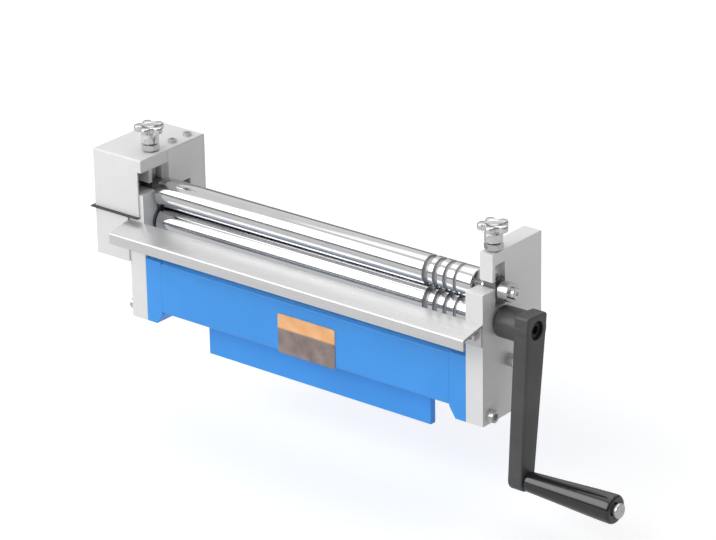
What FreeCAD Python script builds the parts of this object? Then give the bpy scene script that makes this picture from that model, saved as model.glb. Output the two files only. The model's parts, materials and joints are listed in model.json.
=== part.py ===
"""Slip roll machine: three rolls between two end plates on a blue beam that is held by a vise tab.

X runs along the rolls, Y goes back from the feed side and Z is up, in millimetres. Pieces are drawn from
the middle of the bed, the front faces of the end plates and their underside. Each is then placed so that
the origin of the part is the centre of the vise tab's front face.
"""

import FreeCAD, Part
import math
import os
import re

import Sketcher

Vector = FreeCAD.Vector
doc = FreeCAD.newDocument("SlipRoll")

# Driving sizes: name, millimetres, what it is
SIZES = [
    ("bed_width", 320, "between the end plates"),
    ("plate_thick", 16, "end plate thickness"),
    ("plate_depth", 74, "end plate, front to back"),
    ("plate_height", 136, "end plate height"),
    ("lip_drop", 28.6, "top of an end plate down to the top of its front lip"),
    ("jaw_wall", 3.5, "wall in front of the bearing slot"),
    ("jaw_relief", 4, "depth milled off the inner side of the jaw"),
    ("throat_gap", 6, "opening between the lip and the jaw"),
    ("jaw_height", 9.6, "metal above the bearing slot"),
    ("slot_width", 12, "bearing slot in Y"),
    ("slot_spare", 4.8, "room under the upper bearing block"),
    ("slide_gap", 0.1, "gap on each sliding side of a bearing block"),
    ("running_gap", 0.04, "radial gap of every journal and screw that turns"),
    ("roll_dia", 24, "all three rolls"),
    ("roll_gap", 0.6, "between the pinch rolls at rest"),
    ("roll_side_gap", 3, "from a roll's shoulder to the end plate"),
    ("roll_chamfer", 1, "at the ends of a roll"),
    ("edge_break", 0.6, "bevel of a plate's rear edges and of the blocks"),
    ("pinch_y", 22, "both pinch rolls, from the front faces"),
    ("roll_depth", 55.4, "top of an end plate down to the lower pinch roll axis"),
    ("rear_roll_y", 50, "bending roll axis"),
    ("rear_step", 5.8, "bending roll axis above the lower pinch roll axis"),
    ("rear_drop", 4, "bending roll travel down"),
    ("rear_rise", 10, "bending roll travel up"),
    ("upper_journal", 9, "journal of the upper roll"),
    ("lower_journal", 12, "journal of the lower roll"),
    ("rear_journal", 10, "journal of the bending roll"),
    ("groove_first", 15, "from a roll's shoulder to the first wire groove"),
    ("groove_pitch", 9.4, "between wire grooves"),
    ("groove_radius", 1.5, "smallest wire groove"),
    ("groove_step", 0.4, "growth from one wire groove to the next"),
    ("block_height", 17, "bearing block in Z"),
    ("rear_block_width", 14, "bending roll's block in Y"),
    ("rear_pocket", 12, "depth of the pocket for that block"),
    ("bush_dia", 18, "outside of the lower roll's bush"),
    ("bush_flange", 2, "thickness of its thrust flange"),
    ("bush_rim", 3, "reach of that flange past the bush"),
    ("screw_dia", 8, "pressure screws and adjusters"),
    ("point_length", 4, "dog point of a pressure screw"),
    ("point_dia", 6, "dog point of a pressure screw"),
    ("nut_flats", 13, "lock nut across flats"),
    ("nut_height", 5, "lock nut"),
    ("nut_gap", 0.8, "under a lock nut that is backed off"),
    ("knob_gap", 0.7, "lock nut to knob"),
    ("knob_skirt", 9.5, "height of the knob's tapered neck"),
    ("knob_neck", 14.5, "diameter of the neck"),
    ("knob_body", 17.5, "diameter of the knob between its lobes"),
    ("knob_height", 5.5, "height of the lobed head"),
    ("lobe_dia", 7.5, "one lobe"),
    ("lobe_reach", 8.8, "knob axis to the centre of a lobe"),
    ("lobe_round", 1.2, "rounding of the knob's top"),
    ("knob_grip", 9, "length of screw inside the knob"),
    ("gear_module", 1.5, "both gears"),
    ("gear_teeth", 16, "teeth on each gear"),
    ("gear_face", 10, "gear width"),
    ("gear_offset", 7, "end plate to gear"),
    ("gear_backlash", 0.15, "taken off each tooth at the pitch line"),
    ("clip_thick", 1.2, "retaining ring"),
    ("clip_rim", 3, "reach of a retaining ring"),
    ("shaft_stub", 4, "roll end past its gear"),
    ("collar_width", 9, "collar on the upper roll"),
    ("collar_rim", 3, "wall of that collar"),
    ("collar_gap", 2, "end plate to collar"),
    ("collar_stub", 4.5, "roll end past its collar"),
    ("beam_base", 9.1, "underside of the beam above the plates' underside"),
    ("beam_top", 54.4, "top of the beam"),
    ("beam_depth", 44, "beam, front to back"),
    ("beam_wall", 3, "wall of the beam"),
    ("beam_corner", 4, "outer corner radius of the beam"),
    ("foot_width", 16, "end block of the beam in X"),
    ("foot_toe", 10, "width of that block at its foot"),
    ("foot_round", 6, "rounding where the foot flares out"),
    ("tab_half", 112, "half the length of the vise tab"),
    ("tab_drop", 32.2, "vise tab below the beam"),
    ("tab_thick", 6, "vise tab"),
    ("tab_setback", 19, "front faces of the plates to the tab"),
    ("beam_screw", 6, "screws that hold the beam"),
    ("beam_screw_head", 10, "their heads"),
    ("beam_screw_tall", 6, "height of their heads"),
    ("low_screw_y", 8, "front lower screw"),
    ("low_screw_z", 7.4, "front lower screw"),
    ("high_screw_y", 33, "rear upper screw"),
    ("high_screw_z", 44.4, "rear upper screw of the right plate"),
    ("left_screw_z", 41.5, "rear upper screw of the left plate, clear of the gear cover"),
    ("socket_share", 0.5, "socket width over head diameter"),
    ("socket_depth", 3, "depth of a hexagon socket"),
    ("table_sheet", 2, "feed table sheet"),
    ("table_reach", 24, "table in front of the plates"),
    ("table_rise", 3.6, "back of the table above the lower pinch roll axis"),
    ("table_slope", 4.4, "fall of the table from back to front"),
    ("table_lip", 9.1, "height of the table's front lip"),
    ("table_tab", 18.2, "back of the table down to the foot of its fixing tabs"),
    ("table_screw", 5, "screws that hold the table"),
    ("table_screw_head", 10, "their heads"),
    ("table_screw_tall", 4, "height of their heads"),
    ("table_screw_drop", 9.2, "back of the table down to those screws"),
    ("table_screw_deep", 11, "their length in the plate"),
    ("cover_reach", 35, "gear covers beyond the left end plate"),
    ("cover_sheet", 1.5, "gear cover sheet"),
    ("cover_drop", 48.6, "top of an end plate down to the seam between the covers"),
    ("cover_fit", 0.2, "gap in that seam"),
    ("cover_clear", 1.3, "screw head to the underside of the lower cover"),
    ("cover_hem", 2.5, "hem around the upper cover"),
    ("hem_sheet", 1, "thickness of that hem"),
    ("cover_valance", 9, "strip of the upper cover above the rolls"),
    ("valance_back", 31, "how far back that strip goes"),
    ("cover_rim", 7, "rim of the lower cover on the end plate"),
    ("cover_screw", 4, "screws that hold the covers"),
    ("cover_screw_head", 7, "their heads"),
    ("cover_screw_tall", 2.5, "height of their heads"),
    ("cover_screw_deep", 8, "their length in the plate"),
    ("cover_screw_first", 46, "front screw of the upper cover in Y"),
    ("cover_screw_pitch", 18, "between the screws of a cover"),
    ("low_cover_screw_y", 19, "front screw of the lower cover"),
    ("hub_dia", 25, "crank hub"),
    ("hub_length", 32, "crank hub"),
    ("hub_gap", 2, "end plate to crank hub"),
    ("hub_recess", 7, "depth of the recess for the crank screw"),
    ("hub_recess_dia", 15, "that recess"),
    ("crank_throw", 120, "crank axis to grip axis"),
    ("crank_lean", 5.3, "degrees that the crank leans towards the feed side at rest"),
    ("arm_thick", 13, "crank arm in X"),
    ("arm_root", 24.6, "crank arm width at the hub"),
    ("arm_tip", 17.5, "crank arm width at the grip"),
    ("arm_round", 1.5, "edge rounding of the crank"),
    ("crank_screw_head", 13, "screw that holds the crank"),
    ("crank_screw_tall", 5, "height of its head"),
    ("crank_screw_long", 18, "its length in the shaft"),
    ("axle_dia", 8, "axle of the grip"),
    ("axle_head", 12, "head of that axle"),
    ("axle_head_tall", 3, "height of that head"),
    ("grip_gap", 1, "arm to grip, and grip to axle head"),
    ("grip_length", 80, "grip"),
    ("grip_small", 16, "grip diameter at the arm"),
    ("grip_large", 23, "grip diameter at its end"),
    ("grip_round", 2.5, "rounding of the grip's ends"),
    ("adjuster_inset", 7, "foot of an adjuster inside its plate"),
    ("adjuster_socket", 4, "width of the adjuster's socket"),
]

sheet = doc.addObject("Spreadsheet::Sheet", "Sizes")
for row, (alias, value, meaning) in enumerate(SIZES, 1):
    sheet.set(f"A{row}", meaning)
    sheet.set(f"B{row}", str(value))
    sheet.setAlias(f"B{row}", alias)
doc.recompute()
ALIASES = {alias for alias, value, meaning in SIZES}

# Places worked out from the driving sizes, as formulas
PLATE_FACE = "(bed_width / 2)"
PLATE_BACK = "(bed_width / 2 + plate_thick)"
SHOULDER = "(bed_width / 2 - roll_side_gap)"
LOWER_Z = "(plate_height - roll_depth)"
UPPER_Z = f"({LOWER_Z} + roll_dia + roll_gap)"
REAR_Z = f"({LOWER_Z} + rear_step)"
BLOCK_TOP = f"({UPPER_Z} + block_height / 2)"
LIP_TOP = "(plate_height - lip_drop)"
SLOT_FRONT = "(pinch_y - slot_width / 2)"
SLOT_BACK = "(pinch_y + slot_width / 2)"
SLOT_TOP = "(plate_height - jaw_height)"
SLOT_FLOOR = f"({UPPER_Z} - block_height / 2 - slot_spare)"
JAW_MIDDLE = "(jaw_relief + (plate_thick - jaw_relief) / 2)"
REAR_FLOOR = f"({REAR_Z} - block_height / 2 - rear_drop - 3 * slide_gap)"
REAR_TOP = f"({REAR_Z} + block_height / 2 + rear_rise + 3 * slide_gap)"
VISE_CENTRE = "(beam_base - tab_drop / 2)"
GEAR_OUT = "(gear_offset + gear_face)"
TABLE_BACK_Z = f"({LOWER_Z} + table_rise)"
TABLE_FRONT_Z = f"({TABLE_BACK_Z} - table_slope)"
TABLE_SCREW_Z = f"({TABLE_BACK_Z} - table_screw_drop)"
COVER_OUT = f"({PLATE_BACK} + cover_reach)"
SEAM_Z = "(plate_height - cover_drop)"
COVER_FOOT = "(left_screw_z + beam_screw_head / 2 + cover_clear)"
LOW_COVER_SCREW_Z = f"({COVER_FOOT} + cover_sheet + cover_screw_head / 2)"
PLATE_MIDDLE = "(bed_width / 2 + plate_thick / 2)"
TOP_SCREWS = [(f"-{PLATE_MIDDLE}", f"cover_screw_first + {k} * cover_screw_pitch") for k in (0, 1)]
SIDE_SCREWS = [(f"low_cover_screw_y + {k} * cover_screw_pitch", LOW_COVER_SCREW_Z) for k in (0, 1)]
HUB_OUT = "(hub_gap + hub_length)"
GRIP_Y = "(pinch_y - crank_throw * sin(crank_lean))"
GRIP_Z = f"({LOWER_Z} - crank_throw * cos(crank_lean))"


def tied(text):
    """The formula with every size read from the sheet."""
    return re.sub(r"[a-z_]+", lambda word: "Sizes." + word[0] if word[0] in ALIASES else word[0], str(text))


def bind(thing, **formulas):
    for name, formula in formulas.items():
        thing.setExpression(name, tied(formula))


def seat(thing, label, x="0", y="0", z="0"):
    """Names a sub-part and places it from the plates' datum, with the vise tab as the part's origin."""
    thing.Label = label
    thing.setExpression("Placement.Base.x", tied(x))
    thing.setExpression("Placement.Base.y", tied(f"{y} - tab_setback"))
    thing.setExpression("Placement.Base.z", tied(f"{z} - {VISE_CENTRE}"))
    pieces.append(thing)
    return thing


pieces = []


def body(name):
    made = doc.addObject("PartDesign::Body", name)
    made.AllowCompound = True
    return made


def drawing(owner, plane, rise="0"):
    """An empty sketch on one of the body's own planes, moved along its normal by rise."""
    made = owner.newObject("Sketcher::SketchObject", owner.Name + "_sketch")
    role = plane + "_Plane"
    made.AttachmentSupport = [next(f for f in owner.Origin.OriginFeatures if f.Role == role)]
    made.MapMode = "FlatFace"
    made.setExpression("AttachmentOffset.Base.z", tied(rise))
    return made


def outline(sketch, corners):
    """Adds a closed outline of straight lines, with each corner held from the sketch's origin."""
    count = len(corners)
    first = sketch.GeometryCount
    angles = [2 * math.pi * k / count for k in range(count)]
    ring = [Vector(math.cos(angle), math.sin(angle)) for angle in angles]
    for k in range(count):
        sketch.addGeometry(Part.LineSegment(ring[k], ring[(k + 1) % count]))
    for k in range(count):
        sketch.addConstraint(Sketcher.Constraint("Coincident", first + k, 2, first + (k + 1) % count, 1))
    for k, place in enumerate(corners):
        for kind, formula in zip(("DistanceX", "DistanceY"), place):
            held = sketch.addConstraint(Sketcher.Constraint(kind, -1, 1, first + k, 1, 1.0))
            sketch.setExpression(f"Constraints[{held}]", tied(formula))


def oblong(sketch, low, high):
    """Adds a rectangle between two corners."""
    outline(sketch, [(low[0], low[1]), (high[0], low[1]), (high[0], high[1]), (low[0], high[1])])


def circle(sketch, across, up, diameter):
    index = sketch.addGeometry(Part.Circle(Vector(1, 1, 0), Vector(0, 0, 1), 1))
    for kind, formula in (("DistanceX", across), ("DistanceY", up)):
        held = sketch.addConstraint(Sketcher.Constraint(kind, -1, 1, index, 3, 1.0))
        sketch.setExpression(f"Constraints[{held}]", tied(formula))
    held = sketch.addConstraint(Sketcher.Constraint("Diameter", index, 2.0))
    sketch.setExpression(f"Constraints[{held}]", tied(diameter))


def hexagon(sketch, across, up, flats):
    """Adds a hexagon with two corners on the sketch's first axis."""
    side = f"({flats}) / sqrt(3)"
    turns = [("1", "0"), ("0.5", "1"), ("-0.5", "1"), ("-1", "0"), ("-0.5", "-1"), ("0.5", "-1")]
    outline(sketch, [(f"{across} + {a} * {side}", f"{up} + {b} * ({flats}) / 2") for a, b in turns])


def scallop(sketch, across, up, radius, over):
    """Adds a U whose round end is centred on a place and whose open end stands over above it."""
    first = sketch.GeometryCount
    corners = [Vector(1, 1, 0), Vector(1, 2, 0), Vector(3, 2, 0), Vector(3, 1, 0)]
    for k in range(3):
        sketch.addGeometry(Part.LineSegment(corners[k], corners[k + 1]))
    whole = Part.Circle(Vector(2, 1, 0), Vector(0, 0, 1), 1)
    sketch.addGeometry(Part.ArcOfCircle(whole, math.pi, 2 * math.pi))
    for line, end, arc_end in ((0, 1, 1), (2, 2, 2)):
        sketch.addConstraint(Sketcher.Constraint("Coincident", first + line, end, first + 3, arc_end))
    for k in range(2):
        sketch.addConstraint(Sketcher.Constraint("Coincident", first + k, 2, first + k + 1, 1))
    left, right, top = f"{across} - {radius}", f"{across} + {radius}", f"{up} + {over}"
    held_points = [(0, 1, left, up), (1, 1, left, top), (2, 1, right, top), (2, 2, right, up)]
    for (line, end, *place), corner in zip(held_points, corners):
        for kind, formula, rough in zip(("DistanceX", "DistanceY"), place, corner):
            held = sketch.addConstraint(Sketcher.Constraint(kind, -1, 1, first + line, end, rough))
            sketch.setExpression(f"Constraints[{held}]", tied(formula))
    held = sketch.addConstraint(Sketcher.Constraint("DistanceY", -1, 1, first + 3, 3, 1.0))
    sketch.setExpression(f"Constraints[{held}]", tied(up))


def feature(owner, kind, sketch, length, back):
    made = owner.newObject("PartDesign::" + kind, owner.Name + "_" + kind.lower())
    made.Profile = sketch
    made.Reversed = back
    bind(made, Length=length)
    sketch.Visibility = False
    return made


def pad(owner, sketch, length, back=False):
    return feature(owner, "Pad", sketch, length, back)


def pocket(owner, sketch, length, back=False):
    """Cuts against the sketch's normal, or along it where back is true."""
    return feature(owner, "Pocket", sketch, length, back)


def turned(owner, sketch, axis="H_Axis", kind="Revolution", angle=360):
    """Turns a sketch about its own axis, as a lathe does."""
    made = owner.newObject("PartDesign::" + kind, owner.Name + "_" + kind.lower())
    made.Profile = sketch
    made.ReferenceAxis = (sketch, [axis])
    made.Angle = angle
    sketch.Visibility = False
    return made


def rounded(owner, radius, wanted, kind="Fillet"):
    """Rounds or bevels the edges of the body for which wanted(edge) is true."""
    doc.recompute()
    base = owner.Tip
    names = [f"Edge{k}" for k, edge in enumerate(base.Shape.Edges, 1) if wanted(edge)]
    made = owner.newObject("PartDesign::" + kind, owner.Name + "_" + kind.lower())
    made.Base = (base, names)
    bind(made, **{"Radius" if kind == "Fillet" else "Size": radius})
    return made


def size(alias):
    return float(getattr(sheet, alias))


def along(edge, axis):
    """True for a straight edge along an axis, given as 0, 1 or 2."""
    if edge.Curve.TypeId != "Part::GeomLine":
        return False
    return abs(abs(edge.tangentAt(edge.FirstParameter)[axis]) - 1) < 1e-6


# End plates

def end_plate(side, label):
    """Side is 1 for the right plate and -1 for the left, and local X is 0 on the inner face."""
    plate = body(label)
    inward = side > 0
    face = drawing(plate, "YZ")
    jaw_front = f"({SLOT_FRONT} - jaw_wall)"
    throat_top = f"({LIP_TOP} + throat_gap)"
    outline(face, [
        ("0", "0"), ("plate_depth", "0"), ("plate_depth", "plate_height"), (jaw_front, "plate_height"),
        (jaw_front, throat_top), (SLOT_FRONT, throat_top), (SLOT_FRONT, SLOT_TOP), (SLOT_BACK, SLOT_TOP),
        (SLOT_BACK, SLOT_FLOOR), (SLOT_FRONT, SLOT_FLOOR), (SLOT_FRONT, LIP_TOP), ("0", LIP_TOP),
    ])
    pad(plate, face, "plate_thick", back=side < 0)

    relief = drawing(plate, "YZ")
    oblong(relief, (f"{jaw_front} - 1", LIP_TOP), (f"{SLOT_BACK} + jaw_wall", "plate_height + 1"))
    pocket(plate, relief, "jaw_relief", back=inward)

    guide = drawing(plate, "YZ")
    half = "(rear_block_width / 2)"
    oblong(guide, (f"rear_roll_y - {half}", REAR_FLOOR), (f"rear_roll_y + {half}", REAR_TOP))
    pocket(plate, guide, "rear_pocket", back=inward)

    bores = drawing(plate, "YZ")
    circle(bores, "pinch_y", LOWER_Z, "bush_dia")
    circle(bores, "low_screw_y", "low_screw_z", "beam_screw")
    circle(bores, "high_screw_y", high_screw(side), "beam_screw")
    pocket(plate, bores, "plate_thick", back=inward)

    adjuster = drawing(plate, "XY")
    circle(adjuster, f"{side} * rear_pocket / 2", "rear_roll_y", "screw_dia + 2 * running_gap")
    pocket(plate, adjuster, f"{REAR_FLOOR} + 1", back=True)

    pressure = drawing(plate, "XY", "plate_height")
    circle(pressure, f"{side} * {JAW_MIDDLE}", "pinch_y", "screw_dia + 2 * running_gap")
    pocket(plate, pressure, "jaw_height + 1")

    front = drawing(plate, "XZ")
    circle(front, f"{side} * plate_thick / 2", TABLE_SCREW_Z, "table_screw")
    pocket(plate, front, "table_screw_deep")
    if side < 0:
        cover_taps(plate)

    def rear(edge):
        return along(edge, 0) and edge.CenterOfMass.y > size("plate_depth") - 1

    rounded(plate, "edge_break", rear, "Chamfer")
    return seat(plate, label, x=f"{side} * {PLATE_FACE}")


def high_screw(side):
    """Height of the rear upper beam screw of one plate."""
    return "high_screw_z" if side > 0 else "left_screw_z"


def cover_taps(plate):
    """Tapped holes for the cover screws, in the top and in the outer face of the left plate."""
    top = drawing(plate, "XY", "plate_height")
    outer = drawing(plate, "YZ", "-plate_thick")
    for across, up in TOP_SCREWS:
        circle(top, f"{across} + {PLATE_FACE}", up, "cover_screw")
    for across, up in SIDE_SCREWS:
        circle(outer, across, up, "cover_screw")
    pocket(plate, top, "cover_screw_deep")
    pocket(plate, outer, "cover_screw_deep", back=True)


def lower_bush(side, label):
    """Flanged bush of the lower roll, pressed into its end plate."""
    bush = body(label)
    face = drawing(bush, "XZ")
    bore = "(lower_journal / 2 + running_gap)"
    rim = "(bush_dia / 2 + bush_rim)"
    outline(face, [
        (f"{-side} * bush_flange", bore), (f"{side} * plate_thick", bore),
        (f"{side} * plate_thick", "bush_dia / 2"), ("0", "bush_dia / 2"), ("0", rim),
        (f"{-side} * bush_flange", rim),
    ])
    turned(bush, face)
    return seat(bush, label, x=f"{side} * {PLATE_FACE}", y="pinch_y", z=LOWER_Z)


# Beam

def base_beam():
    """Square tube with rounded corners between the two end blocks."""
    beam = body("base_beam")
    half = f"({PLATE_FACE} - foot_width)"
    face = drawing(beam, "YZ", f"-{half}")
    oblong(face, ("0", "beam_base"), ("beam_depth", "beam_top"))
    pad(beam, face, f"2 * {half}")
    rounded(beam, "beam_corner", lambda edge: along(edge, 0))
    hollow = drawing(beam, "YZ", f"-{half}")
    oblong(hollow, ("beam_wall", "beam_base + beam_wall"), ("beam_depth - beam_wall", "beam_top - beam_wall"))
    pocket(beam, hollow, f"2 * {half}", back=True)
    return seat(beam, "base_beam")


def end_foot(side, label):
    """End block of the beam, which flares out into a foot."""
    foot = body(label)
    face = drawing(foot, "XZ")
    outer = f"{side} * {PLATE_FACE}"
    inner = f"{side} * ({PLATE_FACE} - foot_width)"
    outline(face, [
        (outer, "0"), (outer, "beam_top"), (inner, "beam_top"), (inner, "beam_base"),
        (f"{side} * ({PLATE_FACE} - foot_toe)", "0"),
    ])
    pad(foot, face, "beam_depth", back=True)

    def knee(edge):
        return along(edge, 1) and abs(edge.CenterOfMass.z - size("beam_base")) < 0.1

    rounded(foot, "foot_round", knee)
    taps = drawing(foot, "YZ", outer)
    circle(taps, "low_screw_y", "low_screw_z", "beam_screw")
    circle(taps, "high_screw_y", high_screw(side), "beam_screw")
    pocket(foot, taps, "foot_toe - 2", back=side < 0)
    return seat(foot, label)


def vise_tab():
    tab = body("vise_tab")
    face = drawing(tab, "XZ", "-tab_setback")
    oblong(face, ("-tab_half", "beam_base - tab_drop"), ("tab_half", "beam_base"))
    pad(tab, face, "tab_thick", back=True)
    return seat(tab, "vise_tab")


# Screws

def cap_screws(label, plane, rise, places, shank, head, tall, deep, outward):
    """A group of socket screws, with heads along the plane's normal, or against it where outward is false."""
    group = body(label)
    heads = drawing(group, plane, rise)
    shanks = drawing(group, plane, rise)
    sign = "1" if outward else "-1"
    sockets = drawing(group, plane, f"{rise} + {sign} * {tall}")
    for across, up in places:
        circle(heads, across, up, head)
        circle(shanks, across, up, shank)
        hexagon(sockets, across, up, f"{head} * socket_share")
    pad(group, heads, tall, back=not outward)
    pad(group, shanks, deep, back=outward)
    pocket(group, sockets, f"min(socket_depth; {tall} * 0.6)", back=not outward)
    return seat(group, label)


def beam_screws(side, label):
    places = [("low_screw_y", "low_screw_z"), ("high_screw_y", high_screw(side))]
    deep = "plate_thick + foot_toe - 2"
    return cap_screws(label, "YZ", f"{side} * {PLATE_BACK}", places, "beam_screw", "beam_screw_head",
                      "beam_screw_tall", deep, side > 0)


def table_screws():
    places = [(PLATE_MIDDLE, TABLE_SCREW_Z), (f"-{PLATE_MIDDLE}", TABLE_SCREW_Z)]
    return cap_screws("table_screws", "XZ", "table_sheet", places, "table_screw", "table_screw_head",
                      "table_screw_tall", "table_sheet + table_screw_deep", True)


# Feed table

def feed_table():
    """One bent sheet: a sloping top, a front lip and a fixing tab on the front of each end plate."""
    table = body("feed_table")
    face = drawing(table, "YZ", f"-{PLATE_BACK}")
    lip_foot = f"({TABLE_FRONT_Z} - table_lip)"
    lip_back = "table_sheet - table_reach"
    outline(face, [
        ("0", TABLE_BACK_Z), ("-table_reach", TABLE_FRONT_Z), ("-table_reach", lip_foot),
        (lip_back, lip_foot), (lip_back, f"{TABLE_FRONT_Z} - table_sheet"),
        ("0", f"{TABLE_BACK_Z} - table_sheet"),
    ])
    pad(table, face, f"2 * {PLATE_BACK}")
    fold = size("plate_height") - size("roll_depth") + size("table_rise") - size("table_slope")

    def front_fold(edge):
        middle = edge.CenterOfMass
        return along(edge, 0) and abs(middle.z - fold) < 0.1 and middle.y < -size("table_reach") / 2

    rounded(table, "table_sheet * 0.9", front_fold)
    tabs = drawing(table, "XZ")
    holes = drawing(table, "XZ", "table_sheet + 1")
    for side in (1, -1):
        oblong(tabs, (f"{side} * {PLATE_FACE}", f"{TABLE_BACK_Z} - table_tab"),
               (f"{side} * {PLATE_BACK}", f"{TABLE_BACK_Z} - table_sheet"))
        circle(holes, f"{side} * {PLATE_MIDDLE}", TABLE_SCREW_Z, "table_screw")
    pad(table, tabs, "table_sheet")
    pocket(table, holes, "table_sheet + 2")
    return seat(table, "feed_table")


# Gear covers

def outside(edge, across):
    """True for an edge that is further out than this size beyond the left plate's inner face."""
    return edge.CenterOfMass.x < -size("bed_width") / 2 - across


def upper_gear_cover():
    """Folded cap over the left end plate and its gears, open below and towards the rolls."""
    cover = body("upper_gear_cover")
    shell = drawing(cover, "XY", SEAM_Z)
    oblong(shell, (f"-{COVER_OUT}", "-cover_sheet"), (f"-{PLATE_FACE}", "plate_depth + cover_sheet"))
    pad(cover, shell, f"plate_height + cover_sheet - {SEAM_Z}")

    def bend(edge):
        folded = along(edge, 2) or edge.BoundBox.ZMin > size("plate_height")
        return folded and outside(edge, size("cover_sheet"))

    rounded(cover, "cover_sheet * 0.9", bend)
    hollow = drawing(cover, "XY", SEAM_Z)
    oblong(hollow, (f"cover_sheet - {COVER_OUT}", "0"), (f"1 - {PLATE_FACE}", "plate_depth"))
    pocket(cover, hollow, f"plate_height - {SEAM_Z}", back=True)
    valance = drawing(cover, "YZ", f"-{PLATE_FACE}")
    valance_foot = "plate_height - cover_valance"
    oblong(valance, ("-cover_sheet / 2", valance_foot), ("valance_back", "plate_height + cover_sheet / 2"))
    pad(cover, valance, "cover_sheet", back=True)
    front_end = f"-{PLATE_FACE} - jaw_relief"
    notch = drawing(cover, "XZ", "cover_sheet + 1")
    oblong(notch, (front_end, f"{SEAM_Z} - 1"), (f"1 - {PLATE_FACE}", valance_foot))
    pocket(cover, notch, "cover_sheet + 1")
    hem = drawing(cover, "XY", SEAM_Z)
    hem_out = f"-{COVER_OUT} - cover_hem"
    hem_in = f"cover_sheet / 2 - {COVER_OUT}"
    outline(hem, [
        (hem_out, "-cover_sheet - cover_hem"), (front_end, "-cover_sheet - cover_hem"),
        (front_end, "-cover_sheet / 2"), (hem_in, "-cover_sheet / 2"), (hem_in, "plate_depth + cover_sheet"),
        (hem_out, "plate_depth + cover_sheet"),
    ])
    pad(cover, hem, "hem_sheet")
    holes = drawing(cover, "XY", "plate_height + cover_sheet")
    circle(holes, f"-{PLATE_FACE} - {JAW_MIDDLE}", "pinch_y", "screw_dia + 2")
    for across, up in TOP_SCREWS:
        circle(holes, across, up, "cover_screw")
    pocket(cover, holes, "cover_sheet + 0.5")
    return seat(cover, "upper_gear_cover")


def lower_gear_cover():
    """Open-topped tray that hangs on the outer face of the left end plate, under the upper cover's hem."""
    cover = body("lower_gear_cover")
    tall = f"({SEAM_Z} - cover_fit - {COVER_FOOT})"
    shell = drawing(cover, "XY", COVER_FOOT)
    oblong(shell, (f"-{COVER_OUT}", "-cover_sheet"), (f"-{PLATE_BACK}", "plate_depth + cover_sheet"))
    pad(cover, shell, tall)
    rounded(cover, "cover_sheet * 0.9", lambda edge: along(edge, 2) and outside(edge, size("cover_reach")))
    hollow = drawing(cover, "XY", f"{COVER_FOOT} + cover_sheet")
    oblong(hollow, (f"cover_sheet - {COVER_OUT}", "0"), (f"-{PLATE_BACK} - cover_sheet", "plate_depth"))
    pocket(cover, hollow, tall, back=True)
    window = drawing(cover, "YZ", f"-{PLATE_BACK} + 1")
    oblong(window, ("cover_rim", f"{COVER_FOOT} + cover_sheet + cover_screw_head + 1"),
           ("plate_depth - cover_rim", f"{SEAM_Z} + 1"))
    pocket(cover, window, "cover_sheet + 2")
    holes = drawing(cover, "YZ", f"-{PLATE_BACK} + 1")
    for across, up in SIDE_SCREWS:
        circle(holes, across, up, "cover_screw")
    pocket(cover, holes, "cover_sheet + 2")
    return seat(cover, "lower_gear_cover")


def upper_cover_screws():
    return cap_screws("upper_cover_screws", "XY", "plate_height + cover_sheet", TOP_SCREWS, "cover_screw",
                      "cover_screw_head", "cover_screw_tall", "cover_sheet + cover_screw_deep", True)


def lower_cover_screws():
    return cap_screws("lower_cover_screws", "YZ", f"-{PLATE_BACK} - cover_sheet", SIDE_SCREWS, "cover_screw",
                      "cover_screw_head", "cover_screw_tall", "cover_sheet + cover_screw_deep", False)


# Bearing blocks

def bearing_block(label, width, length, bore, x, y, z):
    """Block that slides in Z, with local X across its length and its bore on the roll's axis."""
    block = body(label)
    face = drawing(block, "YZ")
    across = f"({width} / 2 - slide_gap)"
    oblong(face, (f"-{across}", "-block_height / 2"), (across, "block_height / 2"))
    circle(face, "0", "0", f"{bore} + 2 * running_gap")
    pad(block, face, length, back=x.startswith("-"))
    rounded(block, "edge_break", lambda edge: along(edge, 0), "Chamfer")
    return seat(block, label, x=x, y=y, z=z)


# Pressure screws and their knobs

def nut_foot(side):
    """Underside of a lock nut, above the right plate or above the cover of the left one."""
    return "(plate_height + nut_gap)" if side > 0 else "(plate_height + cover_sheet + nut_gap)"


def knob_foot(side):
    return f"({nut_foot(side)} + nut_height + knob_gap)"


def pressure_screw(side, label):
    """Threaded stem with a dog point that bears on the upper block."""
    screw = body(label)
    face = drawing(screw, "XZ")
    tall = f"({knob_foot(side)} + knob_grip - {BLOCK_TOP})"
    outline(face, [
        ("0", "0"), ("point_dia / 2", "0"), ("point_dia / 2", "point_length"),
        ("screw_dia / 2", "point_length + 1"), ("screw_dia / 2", tall), ("0", tall),
    ])
    turned(screw, face, "V_Axis")
    return seat(screw, label, x=f"{side} * ({PLATE_FACE} + {JAW_MIDDLE})", y="pinch_y", z=BLOCK_TOP)


def lock_nut(side, label):
    nut = body(label)
    face = drawing(nut, "XY")
    hexagon(face, "0", "0", "nut_flats")
    circle(face, "0", "0", "screw_dia")
    pad(nut, face, "nut_height")
    return seat(nut, label, x=f"{side} * ({PLATE_FACE} + {JAW_MIDDLE})", y="pinch_y", z=nut_foot(side))


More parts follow.
